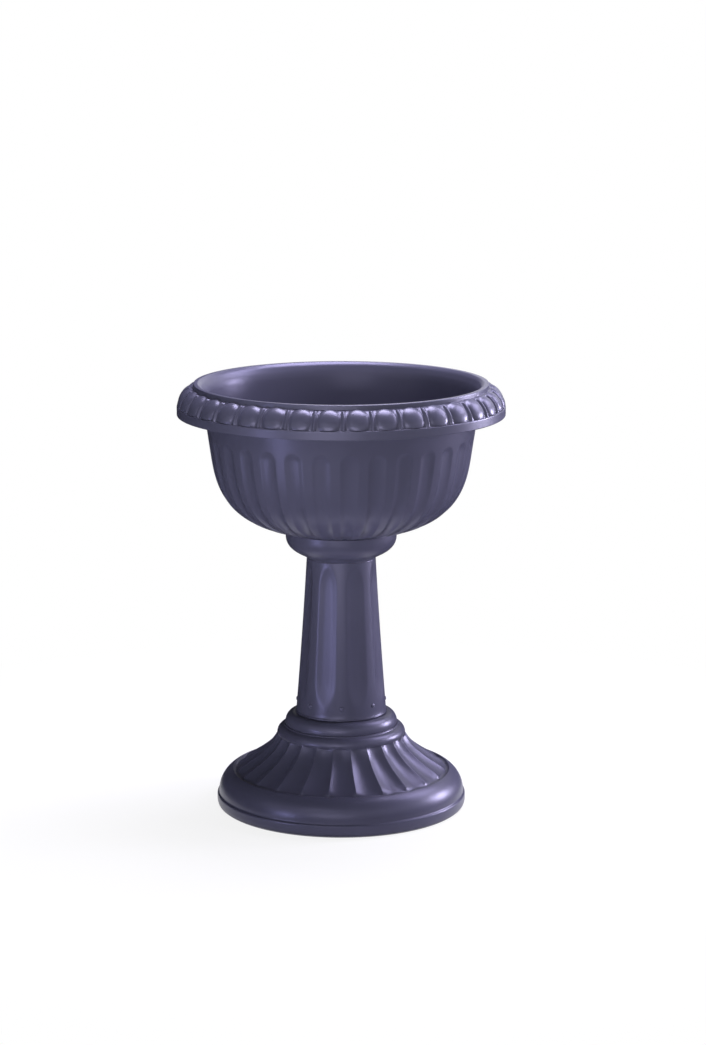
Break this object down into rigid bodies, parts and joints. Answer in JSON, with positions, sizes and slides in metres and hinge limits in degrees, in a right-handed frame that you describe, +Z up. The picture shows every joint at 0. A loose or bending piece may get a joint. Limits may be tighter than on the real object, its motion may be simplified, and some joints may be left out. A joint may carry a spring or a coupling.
{
  "type": "urn planter",
  "caption": "Round pedestal urn planter: a fluted bowl with an egg-and-dart rolled rim on a fluted column and a fluted round foot, with a drain plug and a twist-lock foot.",
  "frame": {"origin": "middle of the foot's underside, on the floor", "axes": "+Z up along the urn's axis, -Y towards the viewer of the picture, +X to the viewer's right"},
  "size_m": [0.3774, 0.3774, 0.5],
  "materials": {
    "urn_plastic": "satin moulded plastic, dark slate with a violet cast",
    "screw_steel": "zinc-plated steel",
    "plug_rubber": "soft black rubber"
  },
  "bodies": {
    "pedestal_base": {"base": "urn_plastic"},
    "urn": {"column": "urn_plastic", "collar": "urn_plastic", "bowl": "urn_plastic", "bowl_screw_1": "screw_steel", "bowl_screw_2": "screw_steel", "bowl_screw_3": "screw_steel", "bowl_screw_4": "screw_steel"},
    "plug": {"drain_plug": "plug_rubber"}
  },
  "joints": [
    {"name": "urn_twist", "type": "hinge", "parent": "pedestal_base", "child": "urn", "pos_m": [0, 0, 0.1], "axis": [0, 0, 1], "range_deg": [0, 30]},
    {"name": "plug_pull", "type": "slide", "parent": "urn", "child": "plug", "axis": [0, 0, 1], "range_m": [0, 0.19]}
  ]
}
